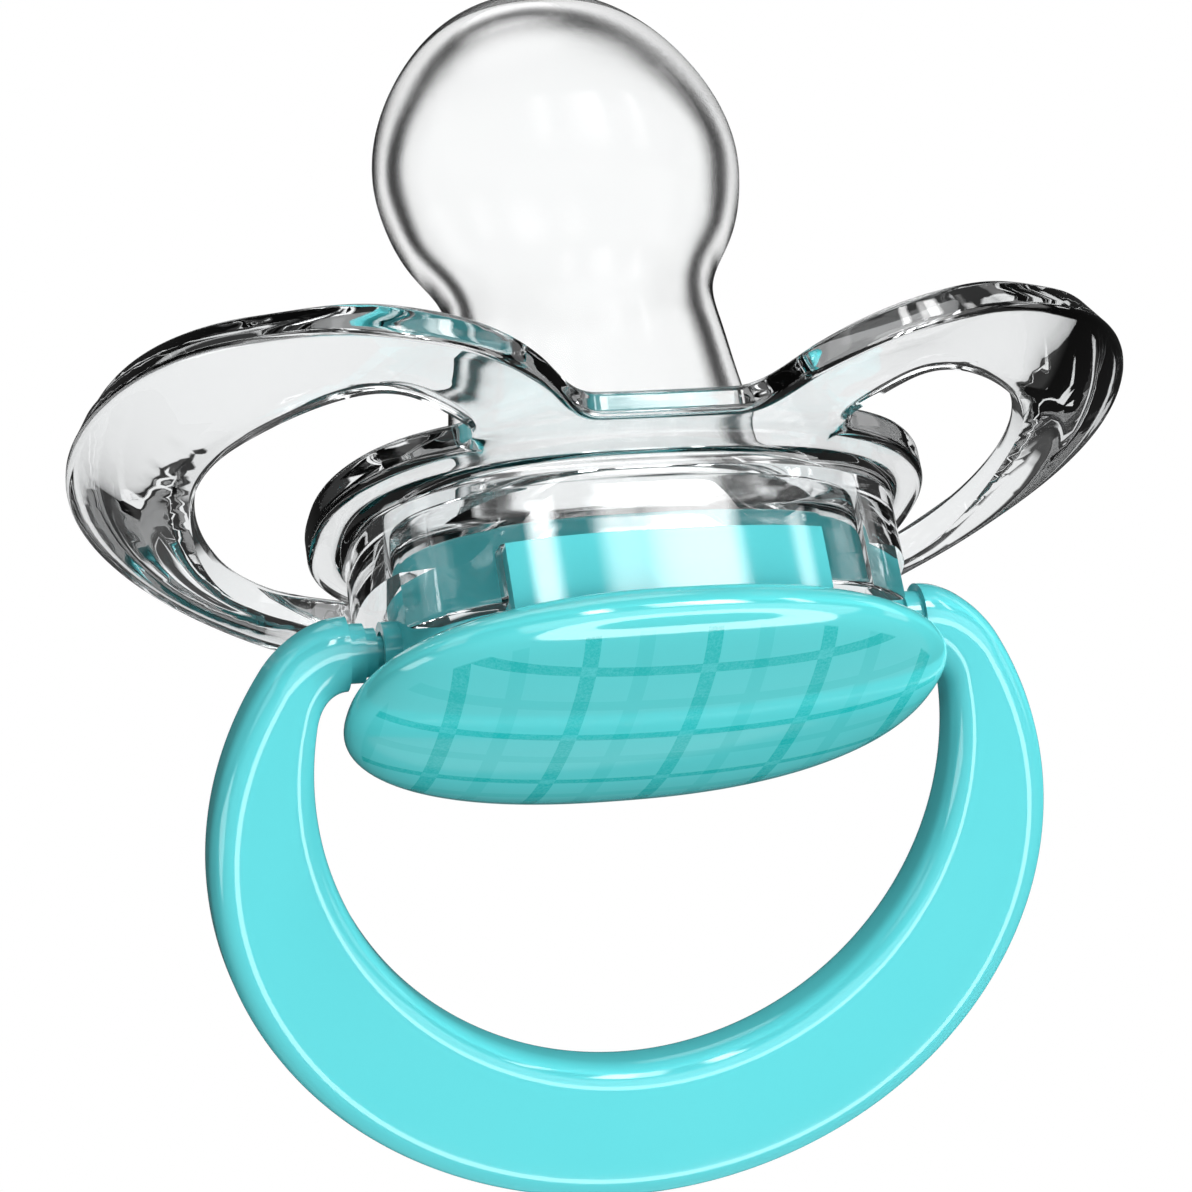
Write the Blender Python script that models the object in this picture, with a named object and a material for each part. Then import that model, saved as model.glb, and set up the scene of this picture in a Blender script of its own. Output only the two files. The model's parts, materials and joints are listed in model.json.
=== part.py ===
"""Pacifier with a clear butterfly shield, a hollow teat, a retaining plug, a button and a ring handle.

The frame: +Z runs along the teat to its tip, X is the ring's hinge axis, and the origin is the centre
of the shield's mouth side. Lengths below are in millimetres, and solid() turns them into metres.
"""
import math

import bmesh
import bpy
from mathutils import Vector

MM = 0.001
GAP = 0.3

# Shield: a thin plate on an arc about Y, with a nose notch and two large vent holes.
PLATE_T = 1.4
PLATE_END_EXTRA = 1.3
SHIELD_HALF_LENGTH = 26.0
SHIELD_HALF_WIDTH = 17.2
WING_CENTRE_X = 11.5
NOTCH_HALF_LENGTH = 3.2
NOTCH_Y = 11.9
DISH_RADIUS = 77.0
CUP_RISE = 1.1
BULGE = (0.8, 0.25)
THINNED = 0.28
VENT_CENTRE_X = 12.85
VENT_HALF_X = 7.65
VENT_HALF_Y = 12.45
VENT_TAPER = 0.09
WING_TAPER = 0.03
HUB = (14.87, 10.5, 2.5)
TEAT_HOLE = (8.5, 6.1, 2.3)

# Collar under the hub plate: a tube down to the hinge, then four posts at its corners.
OUTER_FACE_Z = -PLATE_T
COLLAR = (13.2, 7.9, 2.7)
COLLAR_WALL = 1.3
COLLAR_RIM_Z = -5.2
POST_END_Z = -8.0
LUG_WINDOW_HALF = 7.6
EAR_WINDOW_HALF = 4.7
CUTTER_MARGIN = 1.0

# Teat: half width at each height, and the wall left round its hollow.
TEAT_WALL = 1.3
TEAT_WIDEST_Z = 18.7
TEAT_PROFILE = ((-1.4, 8.1), (0.8, 7.9), (3.1, 7.65), (6.3, 7.2), (9.0, 6.9), (11.2, 6.8), (12.6, 7.3),
                (14.4, 8.35), (16.7, 9.1), (18.7, 9.3), (21.1, 8.9), (23.2, 8.0), (25.1, 6.75),
                (26.7, 5.15), (27.75, 3.3), (28.25, 1.3))
TEAT_DEPTH_RATIO = 0.72
FLANGE = (11.55, 6.25, 2.7)
FLANGE_TOP_Z = OUTER_FACE_Z - GAP
FLANGE_T = 1.6

# Plug: its core fills the collar, its lugs fill the side windows, and its pedestal carries the button.
PLUG_TOP_Z = FLANGE_TOP_Z - FLANGE_T - GAP
PLUG_FOOT_Z = POST_END_Z - GAP
PEDESTAL = (12.2, 7.7, 2.7)
PEDESTAL_T = 0.2
LUG = (13.5, 8.2, 2.7)

# Hinge of the ring, on the X axis through the ears of the plug.
HINGE_Z = -7.0
EAR_BOSS_R = 1.4
EAR_BOSS_X = 12.3
EAR_BORE_R = 0.95
EAR_BORE_X = 9.6

# Button: a domed cap whose rolled back meets the plug's base, with a thin patterned inlay inside.
BUTTON = (14.3, 10.67, 2.35)
BUTTON_RIM_Z = -10.2
DOME_DEPTH = 3.0
BACK_RISE = 3.05
CAP_WALL = 1.0
CAP_MOUTH = 0.90
BASE_SCALE = 0.878
BASE_BOTTOM_Z = -9.4
INLAY_SCALE = 0.86
INLAY_T = 0.4

# Ring handle: the crescent between two ellipses, in the plane that hangs from the hinge.
RING_SWING_DEG = 38.5
RING_OUTER = (20.6, 18.2, 9.8)
RING_INNER = (15.6, 15.4, 5.7)
RING_HALF_T = 1.8
RING_EDGE_R = 1.3
ARM_TOP = 1.9
SHOULDER_R = 1.75
SHOULDER_X = 13.95
STEP_X = 13.15
STEP_R = 1.4
NECK_R = 1.15
NECK_X = 12.6
PIN_R = 0.75
PIN_END_X = 10.2
PIN_ROOT_X = 15.35
SHARP_DEG = 35

TURQUOISE = (0.10, 0.66, 0.68)


def material(name, colour, roughness, alpha=1.0):
    made = bpy.data.materials.new(name)
    made.use_nodes = True
    shader = made.node_tree.nodes["Principled BSDF"]
    shader.inputs["Base Color"].default_value = (*colour, 1.0)
    shader.inputs["Roughness"].default_value = roughness
    shader.inputs["Metallic"].default_value = 0.0
    shader.inputs["Alpha"].default_value = alpha
    return made


def solid(name, points, faces, finish=None):
    """One closed mesh from millimetre points, with its faces turned outwards."""
    mesh = bpy.data.meshes.new(name)
    mesh.from_pydata([Vector(point) * MM for point in points], [], faces)
    shell = bmesh.new()
    shell.from_mesh(mesh)
    bmesh.ops.recalc_face_normals(shell, faces=shell.faces)
    shell.to_mesh(mesh)
    shell.free()
    mesh.shade_smooth()
    mesh.set_sharp_from_angle(angle=math.radians(SHARP_DEG))
    if finish:
        mesh.materials.append(finish)
    made = bpy.data.objects.new(name, mesh)
    bpy.context.scene.collection.objects.link(made)
    return made


def loft(name, loops, finish=None):
    """A skin over loops of equal length, with its two ends closed."""
    count = len(loops[0])
    points = [point for loop in loops for point in loop]
    faces = [tuple(reversed(range(count)))]
    faces.append(tuple(range(len(points) - count, len(points))))
    for row in range(len(loops) - 1):
        for k in range(count):
            after = (k + 1) % count
            low, high = row * count, (row + 1) * count
            faces.append((low + k, low + after, high + after, high + k))
    return solid(name, points, faces, finish)


def superellipse(shape, z, scale=1.0, count=48):
    """A level loop round the Z axis; shape is half length, half depth and exponent."""
    half_x, half_y, power = shape
    loop = []
    for k in range(count):
        angle = math.tau * (k + 0.5) / count
        c, s = math.cos(angle), math.sin(angle)
        x = math.copysign(abs(c) ** (2 / power), c) * half_x * scale
        y = math.copysign(abs(s) ** (2 / power), s) * half_y * scale
        loop.append((x, y, z))
    return loop


def prism(name, shape, low, high):
    return loft(name, [superellipse(shape, low), superellipse(shape, high)])


def inset(shape, distance):
    return (shape[0] - distance, shape[1] - distance, shape[2])


def block(name, low, high):
    corners = ((low[0], low[1]), (high[0], low[1]), (high[0], high[1]), (low[0], high[1]))
    return loft(name, [[(x, y, z) for x, y in corners] for z in (low[2], high[2])])


def disc_stack(name, steps, side, axis_z, count=24):
    """A stepped round bar along X; steps are (x, radius) from its outer end inwards."""
    loops = []
    for x, radius in steps:
        angles = [math.tau * k / count for k in range(count)]
        loops.append([(side * x, radius * math.cos(a), axis_z + radius * math.sin(a)) for a in angles])
    return loft(name, loops)


def combine(target, tools, operation):
    """Apply one Boolean after another, and remove each tool."""
    for tool in tools:
        cut = target.modifiers.new(operation.lower(), "BOOLEAN")
        cut.operation = operation
        cut.object = tool
        graph = bpy.context.evaluated_depsgraph_get()
        result = bpy.data.meshes.new_from_object(target.evaluated_get(graph))
        target.modifiers.clear()
        target.data = result
        bpy.data.objects.remove(tool)
    target.data.shade_smooth()
    target.data.set_sharp_from_angle(angle=math.radians(SHARP_DEG))
    return target


def cubic(p0, p1, p2, p3, t):
    u = 1.0 - t
    weights = (u ** 3, 3 * u * u * t, 3 * u * t * t, t ** 3)
    return tuple(sum(w * p[i] for w, p in zip(weights, (p0, p1, p2, p3))) for i in (0, 1))


def shield_half_outline():
    """Points (x, half depth) of the wing from the middle of the notch to the tip."""
    points = [(0.0, NOTCH_Y), (NOTCH_HALF_LENGTH / 2, NOTCH_Y)]
    start, end = (NOTCH_HALF_LENGTH, NOTCH_Y), (WING_CENTRE_X, SHIELD_HALF_WIDTH)
    lead_out, lead_in = (5.3, NOTCH_Y), (6.4, SHIELD_HALF_WIDTH)
    points += [cubic(start, lead_out, lead_in, end, k / 8) for k in range(8)]
    reach = SHIELD_HALF_LENGTH - WING_CENTRE_X
    for k in range(15):
        angle = math.radians(90 - 90 * k / 14)
        points.append((WING_CENTRE_X + reach * math.cos(angle), SHIELD_HALF_WIDTH * math.sin(angle)))
    return [(x, y * (1 - WING_TAPER * eased((x - 13.5) / 6))) for x, y in points]


def eased(share):
    """The share held between 0 and 1, starting and ending gently."""
    share = min(1.0, max(0.0, share))
    return share * share * (3 - 2 * share)


def wing_share(x):
    """0 over the hub, 1 out on the wings."""
    return eased((abs(x) - 11.5) / 7.5)


def vent_share(x, y):
    """1 beside the vent, falling to 0 at the wing's rim."""
    reach = SHIELD_HALF_LENGTH - WING_CENTRE_X
    wing = math.hypot((abs(x) - WING_CENTRE_X) / reach, y / SHIELD_HALF_WIDTH)
    return min(1.0, max(0.0, (1 - wing) / 0.27)) * wing_share(x)


def dish(x, y):
    """Rise of the plate's outer face above its middle."""
    along = x / SHIELD_HALF_LENGTH
    arc = DISH_RADIUS - math.sqrt(DISH_RADIUS ** 2 - x * x)
    bulge = (BULGE[0] + BULGE[1] * eased((abs(x) - 16) / 6)) * vent_share(x, y)
    return arc + CUP_RISE * (along * y / NOTCH_Y) ** 2 - bulge


def plate_thickness(x, y):
    """Thickness measured along Z, so the plate keeps its true thickness on the slope."""
    along = x / SHIELD_HALF_LENGTH
    slope = x / math.sqrt(DISH_RADIUS ** 2 - x * x)
    thick = PLATE_T + PLATE_END_EXTRA * along ** 2 - THINNED * vent_share(x, y)
    return thick * math.sqrt(1 + slope * slope)


def shield_plate():
    """The whole butterfly before its holes, as columns across Y from one tip to the other."""
    half = shield_half_outline()
    outline = [(-x, y) for x, y in reversed(half[1:])] + half
    rows = 14
    points, faces = [], []
    for side in (0, 1):
        for x, depth in outline:
            for row in range(rows + 1):
                y = depth * (2 * row / rows - 1)
                z = OUTER_FACE_Z + dish(x, y) + side * plate_thickness(x, y)
                points.append((x, y, z))
    width = rows + 1
    layer = len(outline) * width
    for column in range(len(outline) - 1):
        for row in range(rows):
            a = column * width + row
            quad = (a, a + 1, a + width + 1, a + width)
            faces.append(quad)
            faces.append(tuple(layer + k for k in reversed(quad)))
        for row in (0, rows):
            a = column * width + row
            faces.append((a, a + width, a + width + layer, a + layer))
    plate = solid("shield", points, faces)
    merged = bmesh.new()
    merged.from_mesh(plate.data)
    bmesh.ops.remove_doubles(merged, verts=merged.verts, dist=1e-7)
    bmesh.ops.dissolve_degenerate(merged, edges=merged.edges, dist=1e-7)
    bmesh.ops.recalc_face_normals(merged, faces=merged.faces)
    merged.to_mesh(plate.data)
    merged.free()
    return plate


def vent_cutter(side, count=56):
    loops = []
    for z in (OUTER_FACE_Z - CUTTER_MARGIN, SHIELD_HALF_LENGTH / 2):
        loop = []
        for k in range(count):
            angle = math.tau * k / count
            x = VENT_CENTRE_X + VENT_HALF_X * math.cos(angle)
            y = VENT_HALF_Y * math.sin(angle) * (1 - VENT_TAPER * wing_share(x))
            loop.append((side * x, y, z))
        loops.append(loop)
    return loft("vent_cutter", loops)


def shield(finish):
    """Plate, hub and collar are one clear moulding."""
    body = combine(shield_plate(), [vent_cutter(side) for side in (-1, 1)], "DIFFERENCE")
    hub = prism("hub", HUB, OUTER_FACE_Z, 0.0)
    collar = prism("collar", COLLAR, POST_END_Z, OUTER_FACE_Z / 2)
    combine(body, [hub, collar], "UNION")
    below = POST_END_Z - CUTTER_MARGIN
    inside = prism("collar_inside", inset(COLLAR, COLLAR_WALL), below, OUTER_FACE_Z)
    teat_hole = prism("teat_hole", TEAT_HOLE, OUTER_FACE_Z - CUTTER_MARGIN, CUTTER_MARGIN)
    far_x, far_y = COLLAR[0] + CUTTER_MARGIN, COLLAR[1] + CUTTER_MARGIN
    windows = [block("window", (-half_x, -half_y, below), (half_x, half_y, COLLAR_RIM_Z))
               for half_x, half_y in ((LUG_WINDOW_HALF, far_y), (far_x, EAR_WINDOW_HALF))]
    combine(body, [inside, teat_hole] + windows, "DIFFERENCE")
    body.data.materials.clear()
    body.data.materials.append(finish)
    return body


def skin_with_mouth(name, loops, turn, finish):
    """A skin up its outside and down its inside; after loop number turn it goes over to the inside."""
    count = len(loops[0])
    points = [point for loop in loops for point in loop]
    faces = []
    for row in range(len(loops)):
        low, high = row * count, ((row + 1) % len(loops)) * count
        if row == turn:
            faces.append(tuple(range(low, low + count)))
            faces.append(tuple(range(high, high + count)))
            continue
        for k in range(count):
            after = (k + 1) % count
            faces.append((low + k, low + after, high + after, high + k))
    return solid(name, points, faces, finish)


def nipple(finish):
    """Hollow silicone teat, open at its flange, which the plug clamps under the hub plate."""
    flange_bottom = FLANGE_TOP_Z - FLANGE_T
    loops = [superellipse(FLANGE, flange_bottom), superellipse(FLANGE, FLANGE_TOP_Z)]
    for z, half in TEAT_PROFILE:
        loops.append(superellipse((half, half * TEAT_DEPTH_RATIO, 2.0), z))
    turn = len(loops) - 1
    tip_z = TEAT_PROFILE[-1][0]
    for z, half in reversed(TEAT_PROFILE[:-1]):
        lowered = z - TEAT_WALL * max(0.0, (z - TEAT_WIDEST_Z) / (tip_z - TEAT_WIDEST_Z))
        shape = (half - TEAT_WALL, half * TEAT_DEPTH_RATIO - TEAT_WALL, 2.0)
        loops.append(superellipse(shape, lowered))
    mouth = loops[-1]
    loops.append([(x, y, flange_bottom) for x, y, _ in mouth])
    return skin_with_mouth("nipple", loops, turn, finish)


def back_z(scale):
    return BUTTON_RIM_Z + BACK_RISE * math.sqrt(max(0.0, 1 - scale * scale))


def cavity_z(scale):
    reach = min(1.0, scale / CAP_MOUTH)
    return BUTTON_RIM_Z - (DOME_DEPTH - CAP_WALL) * math.sqrt(1 - reach * reach)


def plug(finish):
    """Core in the collar, two lugs in its windows, two hinge ears and the button's base."""
    base = (BUTTON[0] * BASE_SCALE, BUTTON[1] * BASE_SCALE, BUTTON[2])
    pedestal_z = PLUG_FOOT_Z - PEDESTAL_T
    loops = [superellipse(FLANGE, PLUG_TOP_Z), superellipse(FLANGE, PLUG_FOOT_Z)]
    loops += [superellipse(PEDESTAL, PLUG_FOOT_Z), superellipse(PEDESTAL, pedestal_z)]
    loops += [superellipse(base, back_z(BASE_SCALE)), superellipse(base, BASE_BOTTOM_Z)]
    body = loft("plug", loops, finish)
    lug_half, lug_root = LUG_WINDOW_HALF - GAP, pedestal_z - PEDESTAL_T
    lug = prism("lug", LUG, lug_root, COLLAR_RIM_Z - GAP)
    combine(lug, [block("lug_sides", (-lug_half, -LUG[0], lug_root), (lug_half, LUG[0], 0.0))], "INTERSECT")
    ears = [disc_stack("ear", ((EAR_BOSS_X, EAR_BOSS_R), (EAR_BORE_X, EAR_BOSS_R)), side, HINGE_Z)
            for side in (-1, 1)]
    combine(body, [lug] + ears, "UNION")
    bore_steps = ((EAR_BOSS_X + CUTTER_MARGIN, EAR_BORE_R), (EAR_BORE_X, EAR_BORE_R))
    bores = [disc_stack("bore", bore_steps, side, HINGE_Z) for side in (-1, 1)]
    return combine(body, bores, "DIFFERENCE")


def cap(finish):
    """Domed shell, open at its back, where the plug's base closes it."""
    mouth_angle = math.asin(CAP_MOUTH)
    loops = []
    for k in range(5):
        angle = mouth_angle + (math.pi / 2 - mouth_angle) * k / 4
        loops.append(superellipse(BUTTON, BUTTON_RIM_Z + BACK_RISE * math.cos(angle), math.sin(angle)))
    for k in range(1, 11):
        angle = math.radians(90 - 85 * k / 10)
        loops.append(superellipse(BUTTON, BUTTON_RIM_Z - DOME_DEPTH * math.cos(angle), math.sin(angle)))
    turn = len(loops) - 1
    for k in range(8):
        scale = CAP_MOUTH * math.sin(math.radians(6 + 84 * k / 7))
        loops.append(superellipse(BUTTON, cavity_z(scale), scale))
    return skin_with_mouth("cap", loops, turn, finish)


def inlay(finish):
    """Thin patterned sheet that lies in the cap's hollow, a little clear of the dome."""
    scales = [INLAY_SCALE * math.sin(math.radians(6 + 84 * k / 5)) for k in range(6)]
    loops = [superellipse(BUTTON, cavity_z(scale) + GAP, scale) for scale in scales]
    loops += [superellipse(BUTTON, cavity_z(scale) + GAP + INLAY_T, scale) for scale in reversed(scales)]
    return loft("inlay", loops, finish)


def ring_section(inner, outer, half_t):
    """Rounded rectangle between two points of the ring's plane, each (x, distance below the hinge)."""
    span = math.dist(inner, outer)
    ex, ev = (outer[0] - inner[0]) / span, (outer[1] - inner[1]) / span
    middle = ((inner[0] + outer[0]) / 2, (inner[1] + outer[1]) / 2)
    radius = min(RING_EDGE_R, span / 2 * 0.95, half_t * 0.95)
    loop = []
    for corner in range(4):
        sign_w = 1 if corner in (0, 3) else -1
        sign_t = 1 if corner in (0, 1) else -1
        for k in range(4):
            angle = math.radians(90 * corner + 30 * k)
            w = sign_w * (span / 2 - radius) + radius * math.cos(angle)
            t = sign_t * (half_t - radius) + radius * math.sin(angle)
            loop.append((middle[0] + w * ex, t, -(middle[1] + w * ev)))
    return loop


def on_ellipse(ellipse, angle):
    half_x, half_v, centre_v = ellipse
    return (half_x * math.cos(angle), centre_v + half_v * math.sin(angle))


def ring_sections():
    """Sections round the crescent, from one rounded arm end to the other."""
    starts = [math.asin(-centre / half_v) for _, half_v, centre in (RING_OUTER, RING_INNER)]
    stations = 40
    sections = []
    for k in range(stations + 1):
        angles = [start + (math.pi - 2 * start) * k / stations for start in starts]
        outer = on_ellipse(RING_OUTER, angles[0])
        inner = on_ellipse(RING_INNER, angles[1])
        sections.append(ring_section(inner, outer, RING_HALF_T))
    ends = []
    for side in (1, -1):
        outer_x = on_ellipse(RING_OUTER, starts[0])[0]
        inner_x = on_ellipse(RING_INNER, starts[1])[0]
        end = []
        for k in range(1, 6):
            angle = math.radians(16 * k)
            half = (outer_x - inner_x) / 2 * math.cos(angle)
            middle, v = (outer_x + inner_x) / 2, -ARM_TOP * math.sin(angle)
            half_t = RING_HALF_T * math.sqrt(math.cos(angle))
            end.append(ring_section((side * (middle - half), v), (side * (middle + half), v), half_t))
        ends.append(end)
    return list(reversed(ends[0])) + sections + ends[1]


def ring(finish):
    """Handle with a stepped pin at each arm, its origin on the hinge axis, swung towards +Y."""
    body = loft("ring", ring_sections(), finish)
    steps = ((PIN_ROOT_X, SHOULDER_R), (SHOULDER_X, SHOULDER_R), (SHOULDER_X, STEP_R), (STEP_X, STEP_R),
             (STEP_X, NECK_R), (NECK_X, NECK_R), (NECK_X, PIN_R), (PIN_END_X, PIN_R))
    combine(body, [disc_stack("pin", steps, side, 0.0) for side in (-1, 1)], "UNION")
    body.location = (0.0, 0.0, HINGE_Z * MM)
    body.rotation_euler = (math.radians(RING_SWING_DEG), 0.0, 0.0)
    return body


def main():
    for old in list(bpy.data.objects):
        bpy.data.objects.remove(old)
    clear = material("clear_plastic", (0.93, 0.95, 0.95), 0.03, 0.35)
    silicone = material("silicone", (0.95, 0.95, 0.94), 0.18, 0.45)
    turquoise = material("turquoise_plastic", TURQUOISE, 0.12)
    tinted = material("tinted_plastic", TURQUOISE, 0.06, 0.6)
    print_sheet = material("patterned_sheet", (0.05, 0.55, 0.55), 0.35)
    shield(clear)
    nipple(silicone)
    plug(turquoise)
    cap(tinted)
    inlay(print_sheet)
    ring(turquoise)


main()
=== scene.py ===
"""Looks of the pacifier: clear shield and collar, silicone teat, turquoise plug, button and ring.

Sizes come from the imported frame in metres. The frame has +Z along the teat to its tip, X along the
ring's hinge and its origin at the centre of the shield's mouth side.
"""
import json
import math

import bmesh
import bpy
import numpy as np
from mathutils import Matrix, Vector, geometry

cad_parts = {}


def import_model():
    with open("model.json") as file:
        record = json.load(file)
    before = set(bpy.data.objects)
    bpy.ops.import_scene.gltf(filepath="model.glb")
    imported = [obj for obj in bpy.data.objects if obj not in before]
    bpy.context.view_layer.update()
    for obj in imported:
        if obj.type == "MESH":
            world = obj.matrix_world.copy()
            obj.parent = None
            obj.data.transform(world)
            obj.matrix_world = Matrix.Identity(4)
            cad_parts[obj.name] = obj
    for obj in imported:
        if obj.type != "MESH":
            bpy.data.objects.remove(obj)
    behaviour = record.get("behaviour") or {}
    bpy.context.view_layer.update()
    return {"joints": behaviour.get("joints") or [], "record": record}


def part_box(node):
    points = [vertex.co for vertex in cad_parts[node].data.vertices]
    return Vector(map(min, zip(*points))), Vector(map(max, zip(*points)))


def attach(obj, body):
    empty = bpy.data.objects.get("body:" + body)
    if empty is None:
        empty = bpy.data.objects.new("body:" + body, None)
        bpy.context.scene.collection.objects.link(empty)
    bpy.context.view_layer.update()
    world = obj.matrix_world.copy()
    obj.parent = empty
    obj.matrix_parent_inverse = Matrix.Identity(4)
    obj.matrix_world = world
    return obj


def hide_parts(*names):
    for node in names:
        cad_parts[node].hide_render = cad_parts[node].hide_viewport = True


MM = 0.001
AROUND = 192
WELD = 0.002 * MM

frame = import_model()
HINGE = Vector(frame["joints"][0]["pos_m"])
SHIELD_LOW, SHIELD_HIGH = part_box("shield")
NIPPLE_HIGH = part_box("nipple")[1]
CAP_LOW, CAP_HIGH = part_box("cap")
PLUG_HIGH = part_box("plug")[1]
RING_FACE = next(m for m in frame["record"]["mounts"] if m["name"] == "ring_face")
RING_SWING = math.atan2(-RING_FACE["axis"][2], -RING_FACE["axis"][1])

# Shield, in metres.
PLATE_T = 1.4 * MM
PLATE_END_EXTRA = 1.3 * MM
WING_CENTRE_X = 11.5 * MM
NOTCH_HALF = 3.2 * MM
NOTCH_Y = 11.9 * MM
DISH_RADIUS = 77 * MM
CUP_RISE = 1.1 * MM
BULGE = (0.8 * MM, 0.25 * MM)
THINNED = 0.28 * MM
VENT_CENTRE_X = 12.85 * MM
VENT_HALF_X = 9.75 * MM
VENT_HALF_Y = 13.15 * MM
VENT_CORNER_R = 1.2 * MM
VENT_TAPER = 0.09
WING_TAPER = 0.03
FUNNEL_WIDTH = (2.1 * MM, 0.7 * MM)
FUNNEL_DEPTH = (0.15 * MM, 0.8 * MM)
HUB = (14.87 * MM, 10.5 * MM, 2.5)
TEAT_HOLE = (8.5 * MM, 6.1 * MM, 2.3)
EDGE_R = 0.38 * MM
COLLAR = (13.2 * MM, 7.9 * MM, 2.7)
COLLAR_WALL = 1.3 * MM
COLLAR_RIM_Z = -5.2 * MM
ROOT_R = 0.7 * MM
RIM_R = 0.25 * MM
SMALL_R = 0.12 * MM
FACE_PITCH = 0.7 * MM
LUG_WINDOW_HALF = 7.6 * MM
EAR_WINDOW_HALF = 4.7 * MM

# Teat: half width at each height above the shield's mouth side, both in millimetres.
TEAT_PROFILE = ((-1.4, 8.1), (0.8, 7.9), (3.1, 7.65), (6.3, 7.2), (9.0, 6.9), (11.2, 6.8), (12.6, 7.3),
                (14.4, 8.35), (16.7, 9.1), (18.7, 9.3), (21.1, 8.9), (23.2, 8.0), (25.1, 6.75),
                (26.7, 5.15), (27.75, 3.3), (28.25, 1.3))
TEAT_DEPTH_RATIO = 0.72
TEAT_WALL = 1.3 * MM
TIP_EXTRA = 0.5 * MM
TEAT_ROOT = (8.6 * MM, 6.05 * MM, 2.2)
FLANGE = (11.55 * MM, 6.25 * MM, 2.7)
FLANGE_TOP_Z = -1.7 * MM
FLANGE_T = 1.6 * MM

# Button and ring.
BUTTON = (CAP_HIGH.x, CAP_HIGH.y, 2.35)
BUTTON_RIM_Z = -10.2 * MM
BACK_RISE = 3.05 * MM
CAP_WALL = 1.0 * MM
CAP_MOUTH = 0.90
BASE_FIT = 0.893
PEDESTAL = (12.2 * MM, 7.7 * MM, 2.7)
LUG = (13.5 * MM, 8.2 * MM, 2.7)
LUG_GAP = 0.12 * MM
BASE_BOTTOM_Z = -9.4 * MM
INLAY_SCALE = 0.86
INLAY_T = 0.4 * MM
INLAY_REACH = 0.9 * MM
BAR_PITCH = (5.54 * MM, 5.36 * MM)
BAR_FIRST = (0.84 * MM, -2.58 * MM)
BAR_HALF = 0.36 * MM
GAP = 0.3 * MM
DOME_DEPTH = BUTTON_RIM_Z - CAP_LOW.z
RING_OUTER = (20.6 * MM, 18.2 * MM, 9.8 * MM)
RING_INNER = (15.6 * MM, 15.4 * MM, 5.7 * MM)
RING_HALF_T = 1.8 * MM
RING_EDGE_R = 1.3 * MM
OUTER_TURN_V = 0.6 * MM
INNER_TURN_V = 3.4 * MM
BOSS_R = 1.75 * MM
SHOULDER_X = 13.95 * MM

# Round bars on the hinge axis: (x, radius) of each step in millimetres, outer end first.
EAR_STEPS = ((12.3, 1.4), (9.6, 1.4))
BORE_STEPS = ((13.3, 0.95), (9.6, 0.95))
PIN_STEPS = ((14.5, 1.4), (13.15, 1.4), (13.15, 1.15), (12.6, 1.15), (12.6, 0.75), (10.2, 0.75))

# Colours.
CLEAR = (0.92, 0.935, 0.94, 1)
SILICONE = (0.975, 0.98, 0.98, 1)
TURQUOISE = ((0.122, 0.715, 0.765), (0.122 * 1.12, 0.715 * 1.02, 0.765 * 1.01))
# The second tone of the button and the sheet is the printed check's ink, also used for the check's painted
# reflection.
BUTTON_TONES = ((0.118, 0.70, 0.725), (0.01, 0.50, 0.50))
SHEET_TONES = ((0.16, 0.68, 0.70), (0.02, 0.52, 0.50))


# ---------------------------------------------------------------- shader maths

class Value:
    """A shader socket, or a number, that can be added, scaled and compared in plain expressions."""

    def __init__(self, tree, socket):
        self.tree = tree
        self.socket = socket

    def _maths(self, operation, first, second=None):
        made = self.tree.nodes.new("ShaderNodeMath")
        made.operation = operation
        for index, item in enumerate((first, second)):
            if item is None:
                continue
            if isinstance(item, Value):
                self.tree.links.new(item.socket, made.inputs[index])
            else:
                made.inputs[index].default_value = item
        return Value(self.tree, made.outputs[0])

    def __add__(self, other):
        return self._maths("ADD", self, other)

    __radd__ = __add__

    def __sub__(self, other):
        return self._maths("SUBTRACT", self, other)

    def __rsub__(self, other):
        return self._maths("SUBTRACT", other, self)

    def __mul__(self, other):
        return self._maths("MULTIPLY", self, other)

    __rmul__ = __mul__

    def __truediv__(self, other):
        return self._maths("DIVIDE", self, other)

    def __gt__(self, other):
        return self._maths("GREATER_THAN", self, other)

    def __lt__(self, other):
        return self._maths("LESS_THAN", self, other)

    def absolute(self):
        return self._maths("ABSOLUTE", self)

    def wrapped(self):
        return self._maths("FRACT", self)

    def at_most(self, other):
        return self._maths("MINIMUM", self, other)

    def at_least(self, other):
        return self._maths("MAXIMUM", self, other)

    def __neg__(self):
        return self._maths("MULTIPLY", self, -1.0)

    def bearing(self, other):
        return self._maths("ARCTAN2", self, other)

    def arcsine(self):
        return self._maths("ARCSINE", self)


class Tree:
    """A node tree with one method that makes every kind of node."""

    def __init__(self, tree):
        self.tree = tree

    def node(self, kind, settings=None, **inputs):
        made = self.tree.nodes.new(kind)
        for name, value in (settings or {}).items():
            setattr(made, name, value)
        for name, value in inputs.items():
            numbered = name[0] == "i" and name[1:].isdigit()
            socket = made.inputs[int(name[1:]) if numbered else name]
            if isinstance(value, Value):
                self.tree.links.new(value.socket, socket)
            elif isinstance(value, bpy.types.NodeSocket):
                self.tree.links.new(value, socket)
            else:
                socket.default_value = value
        return made

    def value(self, node, output=0):
        return Value(self.tree, node.outputs[output])


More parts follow.
